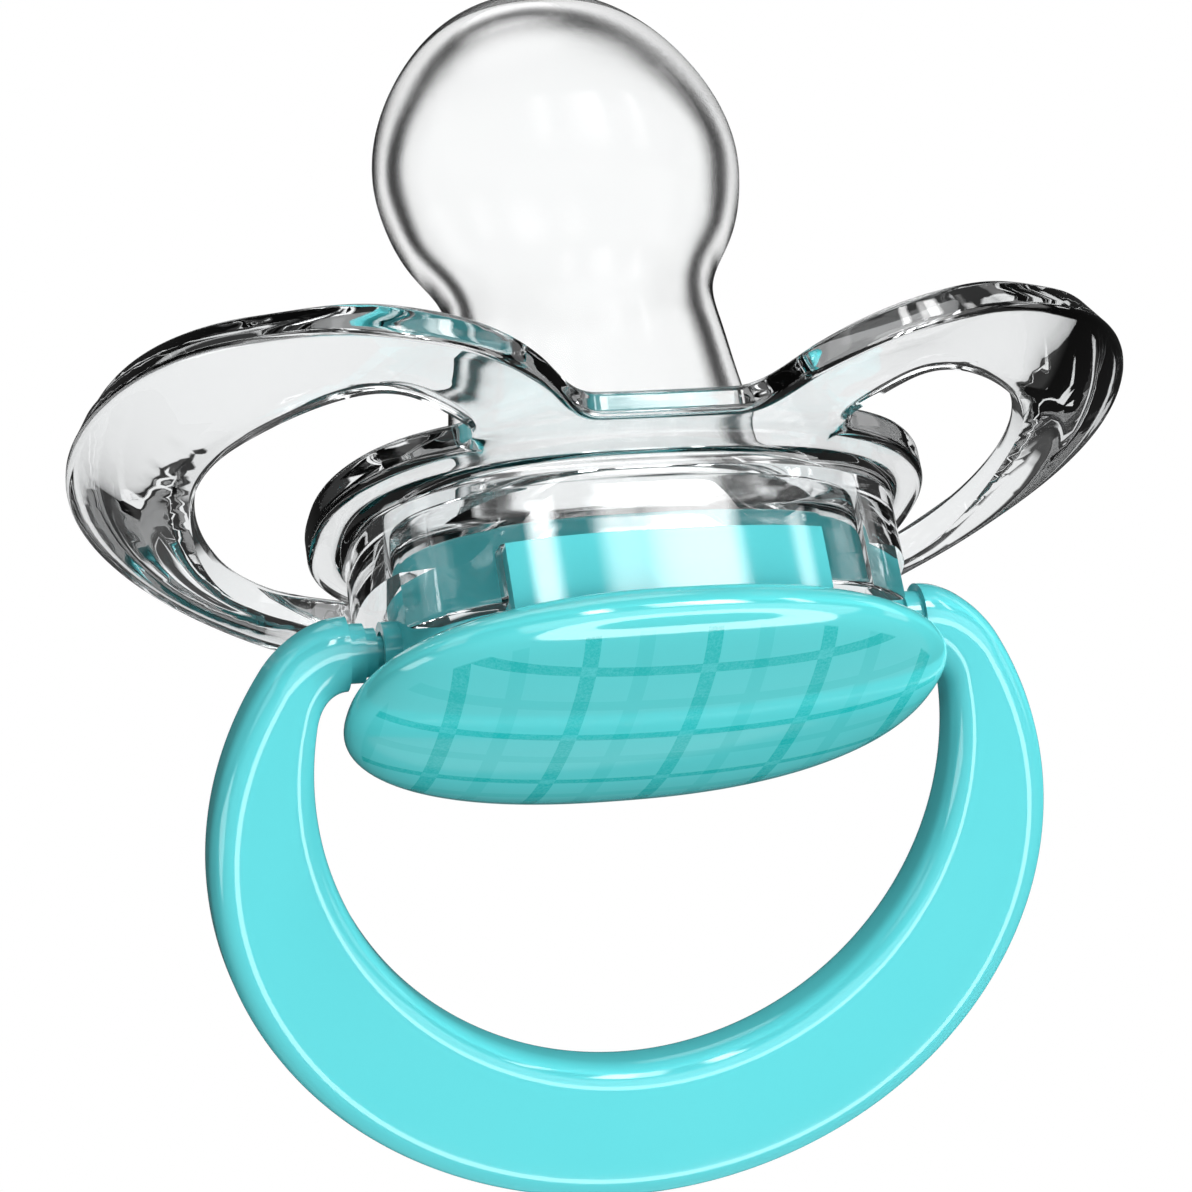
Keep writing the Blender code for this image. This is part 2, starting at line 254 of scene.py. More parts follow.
class Finish(Tree):
    """One material with its Principled shader."""

    def __init__(self, name, **constants):
        self.material = bpy.data.materials.new(name)
        self.material.use_nodes = True
        super().__init__(self.material.node_tree)
        self.shader = self.tree.nodes["Principled BSDF"]
        for label, value in constants.items():
            socket = label.replace("_", " ").title().replace("Ior", "IOR")
            self.shader.inputs[socket].default_value = value

    def place(self):
        """Object coordinates, which are the frame's own metres on a finished piece."""
        return self.node("ShaderNodeTexCoord").outputs["Object"]

    def feed(self, label, source):
        socket = source.socket if isinstance(source, Value) else source
        self.tree.links.new(socket, self.shader.inputs[label])

    def noise(self, scale, detail=3.0, roughness=0.5):
        made = self.node("ShaderNodeTexNoise", Vector=self.place(), Scale=scale, Detail=detail,
                         Roughness=roughness)
        return self.value(made)

    def ripple(self, height, strength, distance):
        bump = self.node("ShaderNodeBump", Height=height, Strength=strength, Distance=distance)
        self.feed("Normal", bump.outputs["Normal"])


def clear_plastic():
    made = Finish("clear_plastic", base_color=CLEAR, ior=1.53, transmission_weight=1.0)
    made.feed("Roughness", made.noise(90, 2.0) * 0.02)
    return made.material


def silicone(name, frosted=False):
    """Clear soft silicone, polished, or faintly frosted with a fine grain."""
    made = Finish(name, base_color=SILICONE, ior=1.41, transmission_weight=1.0, roughness=0.0,
                  specular_tint=(0.05, 0.05, 0.05, 1))
    if frosted:
        made.feed("Roughness", made.noise(700, 4.0) * 0.05)
        made.ripple(made.noise(14000, 2.0), 0.25, 0.03 * MM)
    return made.material


def turquoise_plastic():
    made = Finish("turquoise_plastic", ior=1.5)
    two_tone(made, made.noise(140, 2.0), *TURQUOISE)
    made.feed("Roughness", made.noise(420, 3.0) * 0.04 + 0.045)
    return made.material


def check_print_and_painted_reflection(made):
    """How much darker colour lies at each place: a printed check of speckled bars, with a painted reflection
    of it as fainter bars between.
    """
    split = made.node("ShaderNodeSeparateXYZ", i0=made.place())
    x, y = made.value(split, 0), made.value(split, 1)

    def bars(across, pitch, first, half):
        return ((((across - first) / pitch + 20.5).wrapped() - 0.5).absolute() * pitch) < half

    lines = [bars(*row) for row in zip((x, y), BAR_PITCH, BAR_FIRST, (BAR_HALF, BAR_HALF * 0.8))]
    # Fainter bars near halfway between the printed ones: a painted reflection of the check, not print.
    painted_reflections = [bars(across, pitch, first + pitch / 2 - shift, BAR_HALF)
              for across, pitch, first, shift in zip((x, y), BAR_PITCH, BAR_FIRST, (0.35 * MM, 0.2 * MM))]
    speckle = (made.noise(7000, 3.0, 0.8) * 3.2 - 1.1).at_least(0).at_most(1)
    crossing = lines[0] * lines[1]
    main = lines[0].at_least(lines[1]) * (0.45 + speckle * 0.55) - crossing * 0.3
    return main + painted_reflections[0].at_least(painted_reflections[1]) * 0.22


def two_tone(made, factor, plain, second_tone):
    mix = made.node("ShaderNodeMix", {"data_type": "RGBA"}, i0=factor, i6=(*plain, 1), i7=(*second_tone, 1))
    made.feed("Base Color", mix.outputs[2])


def tinted_plastic():
    """Glossy, opaque turquoise with the printed check and a painted reflection of it in its colour, up to
    the height of the inlay's edge.
    """
    made = Finish("tinted_plastic", ior=1.49, coat_weight=0.4, coat_roughness=0.03)
    split = made.node("ShaderNodeSeparateXYZ", i0=made.place())
    height = made.value(split, 2)
    below_rim = ((BUTTON_RIM_Z - INLAY_REACH - height) / (0.05 * MM)).at_least(0).at_most(1)
    two_tone(made, check_print_and_painted_reflection(made) * below_rim, *BUTTON_TONES)
    made.feed("Roughness", made.noise(300, 2.0) * 0.04 + 0.07)
    return made.material


def patterned_sheet():
    made = Finish("patterned_sheet")
    # The printed check, with its painted reflection as fainter bars.
    two_tone(made, check_print_and_painted_reflection(made), *SHEET_TONES)
    made.feed("Roughness", made.noise(900, 2.0) * 0.1 + 0.3)
    return made.material


# ---------------------------------------------------------------- mesh making

def spline(points, count):
    """Even samples on a natural cubic through the points, in any number of dimensions."""
    knots = np.array(points, float)
    lengths = np.linalg.norm(np.diff(knots, axis=0), axis=1)
    at = np.concatenate([[0.0], np.cumsum(lengths)])
    size = len(knots)
    matrix = np.eye(size)
    right = np.zeros_like(knots)
    for k in range(1, size - 1):
        before, after = lengths[k - 1], lengths[k]
        matrix[k, k - 1:k + 2] = (before, 2 * (before + after), after)
        right[k] = 6 * ((knots[k + 1] - knots[k]) / after - (knots[k] - knots[k - 1]) / before)
    bend = np.linalg.solve(matrix, right)
    samples = np.linspace(0, at[-1], count)
    index = np.clip(np.searchsorted(at, samples, side="right") - 1, 0, size - 2)
    step = lengths[index][:, None]
    a = ((at[index + 1] - samples)[:, None]) / step
    b = 1 - a
    return a * knots[index] + b * knots[index + 1] + ((a ** 3 - a) * bend[index]
                                                        + (b ** 3 - b) * bend[index + 1]) * step ** 2 / 6


def polar_loop(shape, count=AROUND):
    """Superellipse outline by even polar angles."""
    half_x, half_y, power = shape
    angle = np.linspace(0, math.tau, count, endpoint=False) + math.pi / count
    c, s = np.abs(np.cos(angle)) / half_x, np.abs(np.sin(angle)) / half_y
    reach = (c ** power + s ** power) ** (-1 / power)
    return np.stack([reach * np.cos(angle), reach * np.sin(angle)], 1)


def outline_loop(shape, z, scale=1.0, grow=0.0):
    """A level loop: the outline scaled, then moved outwards by grow."""
    loop = polar_loop(shape) * scale
    if grow:
        loop = loop + grow * outward(loop)
    return np.column_stack([loop, np.full(len(loop), z)])


def outward(loop):
    """Unit normals of a closed, anticlockwise plane loop."""
    along = np.roll(loop, -1, axis=0) - np.roll(loop, 1, axis=0)
    normal = np.column_stack([along[:, 1], -along[:, 0]])
    return normal / np.linalg.norm(normal, axis=1)[:, None]


class Shell:
    """Points and faces gathered from strips, fans and flat faces, then welded into one closed mesh."""

    def __init__(self):
        self.points = []
        self.faces = []
        self.slots = []

    def add(self, points, faces, slot=0):
        start = len(self.points)
        self.points += [tuple(p) for p in points]
        self.faces += [tuple(start + k for k in face) for face in faces]
        self.slots += [slot] * len(faces)

    def strip(self, loops, slot=0):
        """Quads between neighbouring loops of equal length."""
        count = len(loops[0])
        faces = []
        for row in range(len(loops) - 1):
            low, high = row * count, (row + 1) * count
            for k in range(count):
                ahead = (k + 1) % count
                faces.append((low + k, low + ahead, high + ahead, high + k))
        self.add(np.concatenate(loops), faces, slot)

    def fan(self, loop, centre, slot=0):
        """Triangles from a loop to the point that closes it."""
        count = len(loop)
        faces = [(k, (k + 1) % count, count) for k in range(count)]
        self.add(np.vstack([loop, [centre]]), faces, slot)

    def make(self, name, finishes, sharp_deg=None):
        mesh = bpy.data.meshes.new(name)
        mesh.from_pydata(self.points, [], self.faces)
        for finish in finishes:
            mesh.materials.append(finish)
        mesh.polygons.foreach_set("material_index", self.slots)
        shell = bmesh.new()
        shell.from_mesh(mesh)
        bmesh.ops.remove_doubles(shell, verts=shell.verts, dist=WELD)
        bmesh.ops.dissolve_degenerate(shell, edges=shell.edges, dist=WELD)
        bmesh.ops.recalc_face_normals(shell, faces=shell.faces)
        shell.to_mesh(mesh)
        shell.free()
        smooth(mesh, sharp_deg)
        made = bpy.data.objects.new(name, mesh)
        bpy.context.scene.collection.objects.link(made)
        return made


def smooth(mesh, sharp_deg):
    mesh.shade_smooth()
    if sharp_deg:
        mesh.set_sharp_from_angle(angle=math.radians(sharp_deg))


def combine(target, tools, operation, sharp_deg=35):
    """Apply one Boolean after another, and remove each tool."""
    for tool in tools:
        cut = target.modifiers.new(operation.lower(), "BOOLEAN")
        cut.operation = operation
        cut.object = tool
        graph = bpy.context.evaluated_depsgraph_get()
        result = bpy.data.meshes.new_from_object(target.evaluated_get(graph))
        target.modifiers.clear()
        target.data = result
        bpy.data.objects.remove(tool)
    smooth(target.data, sharp_deg)
    return target


def block(low, high):
    shell = Shell()
    loops = [np.array([(x, y, z) for x, y in ((low[0], low[1]), (high[0], low[1]), (high[0], high[1]),
                                              (low[0], high[1]))]) for z in (low[2], high[2])]
    shell.strip(loops)
    shell.add(loops[0], [(0, 1, 2, 3)])
    shell.add(loops[1], [(0, 1, 2, 3)])
    return shell.make("block", [])


def fillet(corner, before, after, radius, steps=6):
    """Points of an arc that rounds the corner of a profile, each a pair such as (grow, z)."""
    corner, before, after = (np.array(p, float) for p in (corner, before, after))
    back = (before - corner) / np.linalg.norm(before - corner)
    ahead = (after - corner) / np.linalg.norm(after - corner)
    half = math.acos(np.clip(back @ ahead, -1, 1)) / 2
    start = corner + back * radius / math.tan(half)
    middle = back + ahead
    centre = corner + middle / np.linalg.norm(middle) * radius / math.sin(half)
    first = start - centre
    last = corner + ahead * radius / math.tan(half) - centre
    sweep = math.acos(np.clip(first @ last / radius ** 2, -1, 1))
    arc = []
    for k in range(steps + 1):
        share = k / steps
        weight = (math.sin((1 - share) * sweep), math.sin(share * sweep))
        arc.append(tuple(centre + (weight[0] * first + weight[1] * last) / math.sin(sweep)))
    return arc


def rounded(profile, radii, steps=6):
    """A closed or open profile with each inner corner rounded by its radius (0 leaves it sharp)."""
    result = [profile[0]]
    for k in range(1, len(profile) - 1):
        if radii[k]:
            result += fillet(profile[k], profile[k - 1], profile[k + 1], radii[k], steps)
        else:
            result.append(profile[k])
    return result + [profile[-1]]


# ---------------------------------------------------------------- shield

def cubic(p0, p1, p2, p3, share):
    p0, p1, p2, p3 = (np.array(p) for p in (p0, p1, p2, p3))
    rest = 1 - share
    return rest ** 3 * p0 + 3 * rest ** 2 * share * p1 + 3 * rest * share ** 2 * p2 + share ** 3 * p3


def even(loop, count):
    """The closed loop again, with count points evenly spread along it."""
    closed = np.vstack([loop, loop[:1]])
    at = np.concatenate([[0.0], np.cumsum(np.linalg.norm(np.diff(closed, axis=0), axis=1))])
    where = np.linspace(0, at[-1], count, endpoint=False)
    return np.column_stack([np.interp(where, at, closed[:, axis]) for axis in range(closed.shape[1])])


def butterfly():
    """The shield's outline seen along Z: a flat-bottomed notch between two elliptical wings."""
    half_width = SHIELD_HIGH.y
    reach = SHIELD_HIGH.x - WING_CENTRE_X
    quarter = [(0.0, NOTCH_Y)]
    start, end = (NOTCH_HALF, NOTCH_Y), (WING_CENTRE_X, half_width)
    lead_out, lead_in = (5.3 * MM, NOTCH_Y), (6.4 * MM, half_width)
    quarter += [cubic(start, lead_out, lead_in, end, k / 60) for k in range(60)]
    angles = np.linspace(math.pi / 2, 0, 120)
    quarter += [(WING_CENTRE_X + reach * math.cos(a), half_width * math.sin(a)) for a in angles]
    quarter = np.array([tuple(p) for p in quarter])
    right = np.vstack([quarter, (quarter * (1, -1))[::-1][1:]])
    loop = np.vstack([right, (right * (-1, 1))[::-1][1:-1]])
    loop[:, 1] *= 1 - WING_TAPER * eased((np.abs(loop[:, 0]) - 13.5 * MM) / (6 * MM))
    return even(loop[::-1], 480)


def even_line(line, count):
    """Even samples of an open line, with both its ends."""
    at = np.concatenate([[0.0], np.cumsum(np.linalg.norm(np.diff(line, axis=0), axis=1))])
    where = np.linspace(0, at[-1], count)
    return np.column_stack([np.interp(where, at, line[:, axis]) for axis in range(2)])


def vent_outline(narrower=(0.0, 0.0)):
    """The vent on the +X side: an ellipse cut off by the hub, with its two sharp corners rounded."""
    half_x, half_y = VENT_HALF_X - narrower[0], VENT_HALF_Y - narrower[1]
    angles = np.linspace(0, math.radians(150), 3000)
    wall = np.column_stack([VENT_CENTRE_X + half_x * np.cos(angles), half_y * np.sin(angles)])
    inward = -np.column_stack([np.cos(angles) / half_x, np.sin(angles) / half_y])
    inward /= np.linalg.norm(inward, axis=1)[:, None]
    centres = wall + inward * VENT_CORNER_R
    hub = polar_loop(HUB, 8000)
    hub = hub[(hub[:, 0] > 0) & (hub[:, 1] > 0)]
    hub = hub[np.argsort(hub[:, 1])]
    clearances = [np.linalg.norm(hub - c, axis=1).min() for c in centres[::10]]
    pick = 10 * next(k for k, gap in enumerate(clearances) if gap < VENT_CORNER_R)
    centre = centres[pick]
    foot = int(np.argmin(np.linalg.norm(hub - centre, axis=1)))
    first, last = wall[pick] - centre, hub[foot] - centre
    start = math.atan2(first[1], first[0])
    turn = (math.atan2(last[1], last[0]) - start) % math.tau
    corner = np.array([centre + VENT_CORNER_R * np.array((math.cos(a), math.sin(a)))
                       for a in np.linspace(start, start + turn, 60)])
    upper = np.vstack([even_line(wall[:pick + 1], 84)[:-1], even_line(corner, 15)[:-1],
                       even_line(hub[:foot + 1][::-1], 36)])
    upper[:, 1] *= 1 - VENT_TAPER * wing_share(upper[:, 0])
    return np.vstack([upper, (upper * (1, -1))[::-1][1:-1]])


def eased(share):
    """The share held between 0 and 1, starting and ending gently."""
    share = np.clip(share, 0, 1)
    return share * share * (3 - 2 * share)


def hub_reach(x, y):
    """1 on the hub's outline, more outside it."""
    return ((np.abs(x) / HUB[0]) ** HUB[2] + (np.abs(y) / HUB[1]) ** HUB[2]) ** (1 / HUB[2])


def hub_share(x, y):
    """0 on the flat hub, rising to 1 on the dished wings."""
    return eased((hub_reach(x, y) - 1.0) / 0.42)


def wing_share(x):
    return eased((np.abs(x) - 11.5 * MM) / (7.5 * MM))


def vent_share(x, y):
    """1 beside the vent, falling to 0 at the wing's rim."""
    wing = np.hypot((np.abs(x) - WING_CENTRE_X) / (SHIELD_HIGH.x - WING_CENTRE_X), y / SHIELD_HIGH.y)
    return np.clip((1 - wing) / 0.27, 0, 1) * wing_share(x)


def plate_z(x, y):
    """Height of the plate's outer face."""
    arc = DISH_RADIUS - np.sqrt(DISH_RADIUS ** 2 - x * x)
    cup = CUP_RISE * (x / SHIELD_HIGH.x * y / NOTCH_Y) ** 2
    bulge = (BULGE[0] + BULGE[1] * eased((np.abs(x) - 16 * MM) / (6 * MM))) * vent_share(x, y)
    return -PLATE_T + (arc + cup - bulge) * hub_share(x, y)


def on_plate(plane, height):
    """Points of the plate above plane points; height runs from 0 at the outer face to 1, plus metres."""
    x, y = plane[:, 0], plane[:, 1]
    share, extra = height
    step = 0.02 * MM
    slope_x = (plate_z(x + step, y) - plate_z(x - step, y)) / (2 * step)
    slope_y = (plate_z(x, y + step) - plate_z(x, y - step)) / (2 * step)
    normal = np.column_stack([-slope_x, -slope_y, np.ones_like(x)])
    normal /= np.linalg.norm(normal, axis=1)[:, None]
    thick = PLATE_T + PLATE_END_EXTRA * (x / SHIELD_HIGH.x) ** 2 - THINNED * vent_share(x, y)
    base = np.column_stack([x, y, plate_z(x, y)])
    return base + normal * (thick * share + extra)[:, None]


def funnel(side):
    """A vent's outline, its narrower outline below the slope, and the depth and share of slope round it."""
    outline, narrow = vent_outline(), vent_outline(FUNNEL_WIDTH)
    tip = np.clip((outline[:, 0] - VENT_CENTRE_X) / VENT_HALF_X, 0, 1)
    share = eased((hub_reach(outline[:, 0], outline[:, 1]) - 1.0) / 0.12)
    depth = share * (FUNNEL_DEPTH[0] + FUNNEL_DEPTH[1] * tip ** 4)
    if side < 0:
        outline, narrow = ((loop * (-1, 1))[::-1] for loop in (outline, narrow))
        share, depth = share[::-1], depth[::-1]
    return outline, 1, narrow, depth, share


def edge_loops(outline, into, narrow=None, depth=0.0, share=0.0):
    """Loops from the outer face, by a fillet or a slope, up the wall to the mouth side, and both ends."""
    steps = 6
    wall = outline if narrow is None else narrow
    depth, share = (np.zeros(len(outline)) + part for part in (depth, share))
    plain = EDGE_R * (1 - share)
    outer_rim = outline + outward(outline) * into * plain[:, None]
    loops = []
    for k in range(steps + 1):
        angle = math.pi / 2 * k / steps
        part = ((1 - share) * math.sin(angle) + share * k / steps)[:, None]
        lift = plain * (1 - math.cos(angle)) + depth * k / steps
        loops.append(on_plate(outer_rim * (1 - part) + wall * part, (0.0, lift)))
    for part in (0.25, 0.5, 0.75):
        loops.append(on_plate(wall, (part, (plain + depth) * (1 - part) - EDGE_R * part)))
    normal = outward(wall) * into
    for k in range(steps + 1):
        angle = math.pi / 2 * k / steps
        inset, lift = EDGE_R * (1 - math.cos(angle)), -EDGE_R * (1 - math.sin(angle))
        loops.append(on_plate(wall + normal * inset, (1.0, lift)))
    return loops, outer_rim, wall + normal * EDGE_R


def in_area(points, boundaries):
    """Which points lie inside the first boundary and outside the others."""
    keep = inside_loop(points, boundaries[0])
    for hole in boundaries[1:]:
        keep &= ~inside_loop(points, hole)
    return keep


def face_grid(boundaries, pitch):
    """Triangles over the area inside the first boundary and outside the others."""
    fixed = np.concatenate(boundaries)
    edges, start = [], 0
    for loop in boundaries:
        edges += [(start + k, start + (k + 1) % len(loop)) for k in range(len(loop))]
        start += len(loop)
    xs = np.arange(-SHIELD_HIGH.x, SHIELD_HIGH.x, pitch)
    ys = np.arange(-SHIELD_HIGH.y, SHIELD_HIGH.y, pitch * math.sqrt(0.75))
    grid = np.array([(x + (row % 2) * pitch / 2, y) for row, y in enumerate(ys) for x in xs])
    grid = grid[in_area(grid, boundaries)]
    clear = [np.min(np.sum((fixed - p) ** 2, axis=1)) > (0.55 * pitch) ** 2 for p in grid]
    points = [Vector(p) / MM for p in np.vstack([fixed, grid[clear]])]
    made = geometry.delaunay_2d_cdt(points, edges, [], 0, 1e-6)
    flat = np.array([tuple(v) for v in made[0]]) * MM
    triangles = np.array([tuple(t) for t in made[2]])
    keep = in_area(flat[triangles].mean(axis=1), boundaries)
    return flat, triangles[keep].tolist()


def inside_loop(points, loop):
    """Which plane points lie inside a closed loop, by counting crossings."""
    inside = np.zeros(len(points), bool)
    x, y = points[:, 0], points[:, 1]
    ahead = np.roll(loop, -1, axis=0)
    for (ax, ay), (bx, by) in zip(loop, ahead):
        if ay == by:
            continue
        crosses = ((ay > y) != (by > y)) & (x < (bx - ax) * (y - ay) / (by - ay) + ax)
        inside ^= crosses
    return inside


def shield(finish):
    """Plate, hub and collar in one clear moulding, with windows for the plug's lugs and ears."""
    shell = Shell()
    outer_rims, mouth_rims = [], []
    for edge in ((butterfly(), -1), funnel(1), funnel(-1)):
        loops, outer_rim, mouth_rim = edge_loops(*edge)
        shell.strip(loops)
        outer_rims.append(outer_rim)
        mouth_rims.append(mouth_rim)
    collar = collar_loops()
    shell.strip(collar)
    for rims, loop, share in ((outer_rims, collar[0], 0.0), (mouth_rims, collar[-1], 1.0)):
        flat, triangles = face_grid(rims + [loop[:, :2]], FACE_PITCH)
        shell.add(on_plate(flat, (share, 0.0)), triangles)
    body = shell.make("clear_shield", [finish])
    below = SHIELD_LOW.z - MM
    far = (COLLAR[0] + MM, COLLAR[1] + MM)
    windows = [block((-x, -y, below), (x, y, COLLAR_RIM_Z))
               for x, y in ((LUG_WINDOW_HALF, far[1]), (far[0], EAR_WINDOW_HALF))]
    combine(body, windows, "DIFFERENCE", 40)
    return body


def collar_loops():
    """Loops from the root fillet under the hub, down and up the collar's wall, and up the teat hole."""
    outer, rim = -PLATE_T, SHIELD_LOW.z
    wall = -COLLAR_WALL
    profile = [(ROOT_R * 1.5, outer), (0, outer), (0, rim), (wall, rim), (wall, outer),
               (wall - 0.15 * MM, outer)]
    corners = [0, ROOT_R, RIM_R, RIM_R, SMALL_R, 0]
    loops = [outline_loop(COLLAR, z, grow=grow) for grow, z in rounded(profile, corners)]
    hole = [(0.15 * MM, outer), (0, outer), (0, 0), (EDGE_R, 0)]
    corners = [0, SMALL_R, EDGE_R * 0.99, 0]
    return loops + [outline_loop(TEAT_HOLE, z, grow=grow) for grow, z in rounded(hole, corners)]


# ---------------------------------------------------------------- teat

def teat_profile():
    """Side of the teat from its root to the pole, as rows of half width and height, with normals."""
    rows = np.array([(half, z) for z, half in TEAT_PROFILE[:-1]]) * MM
    mirrored = rows[::-1] * (-1, 1)
    whole = spline(np.vstack([rows, [(0, NIPPLE_HIGH.z)], mirrored]), 301)
    along = np.gradient(whole, axis=0)
    normal = np.column_stack([along[:, 1], -along[:, 0]])
    normal /= np.linalg.norm(normal, axis=1)[:, None]
    return whole[:151], normal[:151]


def nipple(outside, inside):
    """Hollow teat: polished outside, matt inside, with the flange that the plug clamps."""
    side, normal = teat_profile()
    shell = Shell()
    bottom = FLANGE_TOP_Z - FLANGE_T
    flange = rounded([(-3 * MM, bottom), (0, bottom), (0, FLANGE_TOP_Z), (-3 * MM, FLANGE_TOP_Z)],
                     [0, 0.35 * MM, 0.35 * MM, 0])
    loops = [outline_loop(FLANGE, z, grow=grow) for grow, z in flange]
    outer = [outline_loop((half, half * TEAT_DEPTH_RATIO, 2.0), z) for half, z in side[:-1]]
    shell.strip(loops[1:-1] + [outline_loop(TEAT_ROOT, FLANGE_TOP_Z)] + outer)
    shell.fan(outer[-1], (0, 0, side[-1][1]))
    inner = []
    for (half, z), (across, up) in zip(side[:-1], normal[:-1]):
        thick = TEAT_WALL + TIP_EXTRA * max(0.0, up) ** 2
        wall = thick * across
        inner.append(outline_loop((half - wall, half * TEAT_DEPTH_RATIO - wall, 2.0), z - thick * up))
    mouth = inner[0] * (1, 1, 0) + (0, 0, bottom)
    shell.strip([loops[1], mouth])
    shell.strip([mouth] + inner, 1)
    shell.fan(inner[-1], (0, 0, side[-1][1] - TEAT_WALL - TIP_EXTRA), 1)
    return shell.make("silicone_teat", [outside, inside], 60)


# ---------------------------------------------------------------- plug and button

def back_z(scale):
    return BUTTON_RIM_Z + BACK_RISE * math.sqrt(max(0.0, 1 - scale * scale))


def cavity_z(scale):
    reach = min(1.0, scale / CAP_MOUTH)
    return BUTTON_RIM_Z - (DOME_DEPTH - CAP_WALL) * math.sqrt(1 - reach * reach)


def closed_loft(name, loops, finishes, sharp_deg=35):
    shell = Shell()
    shell.strip(loops)
    for loop in (loops[0], loops[-1]):
        shell.fan(loop, loop.mean(axis=0))
    return shell.make(name, finishes, sharp_deg)


def button_dome(finish):
    """Domed shell whose rolled rim turns back to the plug's base."""
    mouth = math.asin(CAP_MOUTH)
    loops = []
    for angle in np.linspace(mouth, math.pi / 2, 14):
        loops.append(outline_loop(BUTTON, BUTTON_RIM_Z + BACK_RISE * math.cos(angle), math.sin(angle)))
    for angle in np.linspace(math.pi / 2, 0.01, 60)[1:]:
        loops.append(outline_loop(BUTTON, BUTTON_RIM_Z - DOME_DEPTH * math.cos(angle), math.sin(angle)))
    shell = Shell()
    shell.strip(loops)
    shell.fan(loops[-1], (0, 0, CAP_LOW.z))
    inner = [outline_loop(BUTTON, back_z(CAP_MOUTH), CAP_MOUTH)]
    for angle in np.linspace(math.pi / 2, 0.01, 40):
        scale = CAP_MOUTH * math.sin(angle)
        inner.append(outline_loop(BUTTON, cavity_z(scale), scale))
    shell.strip(inner)
    shell.fan(inner[-1], (0, 0, cavity_z(0)))
    return shell.make("button_dome", [finish], 50)


def button_inlay(finish):
    angles = np.linspace(0.01, math.pi / 2, 40)
    scales = [INLAY_SCALE * math.sin(a) for a in angles]
    loops = [outline_loop(BUTTON, cavity_z(s) + GAP, s) for s in scales]
    loops += [outline_loop(BUTTON, cavity_z(s) + GAP + INLAY_T, s) for s in reversed(scales)]
    return closed_loft("printed_inlay", loops, [finish])


def plug(finish):
    """Core in the collar, lugs in its windows, ears for the ring's pins, and the button's base."""
    top, foot = PLUG_HIGH.z, SHIELD_LOW.z - GAP
    base = (BUTTON[0] * BASE_FIT, BUTTON[1] * BASE_FIT, BUTTON[2])
    core = [outline_loop(FLANGE, z, grow=grow) for grow, z in
            rounded([(-2 * MM, top), (0, top), (0, foot)], [0, 0.4 * MM, 0])]
    flare = [outline_loop(PEDESTAL, foot), outline_loop(PEDESTAL, foot - 0.2 * MM)]
    flare += [outline_loop(base, back_z(BASE_FIT)), outline_loop(base, BASE_BOTTOM_Z)]
    body = closed_loft("plug_core", core + flare, [finish])
    lug_top, lug_foot = COLLAR_RIM_Z - LUG_GAP, foot - 0.4 * MM
    lug_side = LUG_WINDOW_HALF - LUG_GAP
    lug = closed_loft("lug", [outline_loop(LUG, z) for z in np.linspace(lug_foot, lug_top, 3)], [finish])
    combine(lug, [block((-lug_side, -2 * LUG[1], 2 * lug_foot), (lug_side, 2 * LUG[1], 0))], "INTERSECT")
    ears = [stepped_bar("ear", EAR_STEPS, side) for side in (-1, 1)]
    combine(body, [lug] + ears, "UNION")
    bores = [stepped_bar("bore", BORE_STEPS, side) for side in (-1, 1)]
    return combine(body, bores, "DIFFERENCE")


def stepped_bar(name, steps, side, count=64):
    """A stepped round bar on the hinge axis; steps are (x, radius) in millimetres, outer end first."""
    shell = Shell()
    angles = np.linspace(0, math.tau, count, endpoint=False)
    loops = []
    for x, radius in steps:
        loops.append(np.column_stack([np.full(count, side * x), radius * np.cos(angles),
                                      radius * np.sin(angles)]) * MM + np.array(HINGE))
    shell.strip(loops)
    for loop in (loops[0], loops[-1]):
        shell.fan(loop, loop.mean(axis=0))
    return shell.make(name, [], 35)


# ---------------------------------------------------------------- ring

def ring_section(inner, outer, half_t, round_r=RING_EDGE_R, steps=9):
    """Rounded rectangle between two points of the ring's plane, each (x, distance below the hinge)."""
    inner, outer = np.array(inner), np.array(outer)
    span = np.linalg.norm(outer - inner)
    along = (outer - inner) / span
    middle = (inner + outer) / 2
    radius = min(round_r, span / 2 * 0.98, half_t * 0.98)
    loop = []
    for corner in range(4):
        sign_w = 1 if corner in (0, 3) else -1
        sign_t = 1 if corner in (0, 1) else -1
        for k in range(steps):
            angle = math.pi / 2 * (corner + k / (steps - 1))
            w = sign_w * (span / 2 - radius) + radius * math.cos(angle)
            t = sign_t * (half_t - radius) + radius * math.sin(angle)
            x, v = middle + w * along
            loop.append((x, t, -v))
    return np.array(loop)


def on_ellipse(ellipse, v):
    """Point of the right-hand side of an ellipse at depth v, and its direction of travel upwards."""
    half_x, half_v, centre = ellipse
    angle = math.asin((v - centre) / half_v)
    travel = np.array((half_x * math.sin(angle), -half_v * math.cos(angle)))
    return np.array((half_x * math.cos(angle), v)), travel / np.linalg.norm(travel)


def elbow(ellipse, start_v, end_v, reach, steps=28):
    """Curve that leaves the ellipse and turns level, to reach the boss's end face."""
    start, travel = on_ellipse(ellipse, start_v)
    end = np.array((SHOULDER_X, end_v))
    leave, arrive = start + travel * reach, end + (reach, 0)
    return [cubic(start, leave, arrive, end, k / steps) for k in range(1, steps + 1)]


